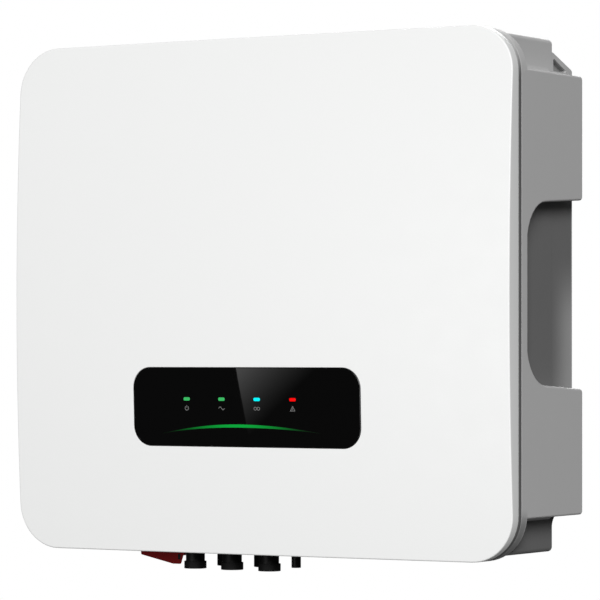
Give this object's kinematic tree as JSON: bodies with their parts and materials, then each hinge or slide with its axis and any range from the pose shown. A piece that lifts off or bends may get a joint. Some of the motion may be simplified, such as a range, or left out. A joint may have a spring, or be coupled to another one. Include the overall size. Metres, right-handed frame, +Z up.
{
  "type": "string inverter",
  "caption": "Wall-hung solar string inverter: domed white cover with a black display window, grey cast housing with side wings and hand cut-outs, red DC switch and capped connectors below.",
  "frame": {"origin": "on the wall plane, at the middle of the wall bracket's back, level with the middle of the cover", "axes": "+X to the object's right seen from the front, +Y back into the wall, +Z up"},
  "size_m": [0.4474, 0.146, 0.4136],
  "materials": {
    "cover_white": "fine satin, almost white",
    "housing_grey": "die-cast, grey powder coat",
    "fin_aluminium": "extruded, bare",
    "seal_rubber": "matt",
    "cap_rubber": "matt black",
    "window_black": "polished, tinted black",
    "black_plastic": "fine texture",
    "switch_red": "satin red",
    "circuit_board": "green solder mask",
    "cable_grey": "flat ribbon",
    "choke_core": "lacquered winding on a core",
    "zinc_steel": "zinc plated",
    "light_green": "light pipe, lit",
    "light_cyan": "light pipe, lit",
    "light_red": "light pipe, lit"
  },
  "bodies": {
    "bracket": {"wall_bracket": "zinc_steel", "lock_screw": "zinc_steel"},
    "inverter": {"front_cover": "cover_white", "cover_gasket": "seal_rubber", "display_window": "window_black", "power_light": "light_green", "string_light": "light_green", "link_light": "light_cyan", "alarm_light": "light_red", "display_frame": "black_plastic", "display_board": "circuit_board", "display_cable": "cable_grey", "rear_housing": "housing_grey", "heat_sink": "fin_aluminium", "power_board": "circuit_board", "control_board": "circuit_board", "bus_capacitor_1": "black_plastic", "bus_capacitor_2": "black_plastic", "bus_capacitor_3": "black_plastic", "bus_capacitor_4": "black_plastic", "boost_choke_1": "choke_core", "boost_choke_2": "choke_core", "filter_choke": "choke_core", "relay_1": "black_plastic", "relay_2": "black_plastic", "power_module_1": "black_plastic", "power_module_2": "black_plastic", "emi_filter": "zinc_steel", "dc_switch_body": "black_plastic", "dc_switch_bezel": "black_plastic", "aux_port": "black_plastic", "pv_plug_1": "black_plastic", "pv_plug_2": "black_plastic", "pv_socket_1": "black_plastic", "pv_socket_2": "black_plastic", "antenna_stub": "black_plastic", "ac_socket": "black_plastic", "com_port": "black_plastic", "vent_valve": "black_plastic", "ground_screw": "zinc_steel", "cover_screw_1": "zinc_steel", "cover_screw_2": "zinc_steel", "cover_screw_3": "zinc_steel", "cover_screw_4": "zinc_steel", "hanger_rail": "zinc_steel"},
    "dc_switch": {"dc_switch_handle": "switch_red", "dc_switch_shaft": "zinc_steel"},
    "aux_dust_cap": {"aux_cap": "cap_rubber"},
    "plug_1_dust_cap": {"pv_plug_cap_1": "cap_rubber"},
    "plug_2_dust_cap": {"pv_plug_cap_2": "cap_rubber"},
    "socket_1_dust_cap": {"pv_socket_cap_1": "cap_rubber"},
    "socket_2_dust_cap": {"pv_socket_cap_2": "cap_rubber"},
    "ac_dust_cap": {"ac_cap": "cap_rubber"},
    "com_bung": {"com_plug": "cap_rubber"}
  },
  "joints": [
    {"name": "lift_off_bracket", "type": "slide", "parent": "bracket", "child": "inverter", "axis": [0, 0, 1], "range_m": [0, 0.015]},
    {"name": "dc_switch_turn", "type": "hinge", "parent": "inverter", "child": "dc_switch", "pos_m": [-0.1172, -0.064, -0.1973], "axis": [0, 0, 1], "range_deg": [0, 90]},
    {"name": "aux_cap_pull", "type": "slide", "parent": "inverter", "child": "aux_dust_cap", "axis": [0, 0, -1], "range_m": [0, 0.02]},
    {"name": "plug_cap_1_pull", "type": "slide", "parent": "inverter", "child": "plug_1_dust_cap", "axis": [0, 0, -1], "range_m": [0, 0.02]},
    {"name": "plug_cap_2_pull", "type": "slide", "parent": "inverter", "child": "plug_2_dust_cap", "axis": [0, 0, -1], "range_m": [0, 0.02]},
    {"name": "socket_cap_1_pull", "type": "slide", "parent": "inverter", "child": "socket_1_dust_cap", "axis": [0, 0, -1], "range_m": [0, 0.02]},
    {"name": "socket_cap_2_pull", "type": "slide", "parent": "inverter", "child": "socket_2_dust_cap", "axis": [0, 0, -1], "range_m": [0, 0.02]},
    {"name": "ac_cap_pull", "type": "slide", "parent": "inverter", "child": "ac_dust_cap", "axis": [0, 0, -1], "range_m": [0, 0.02]},
    {"name": "com_plug_pull", "type": "slide", "parent": "inverter", "child": "com_bung", "axis": [0, 0, -1], "range_m": [0, 0.02]}
  ]
}
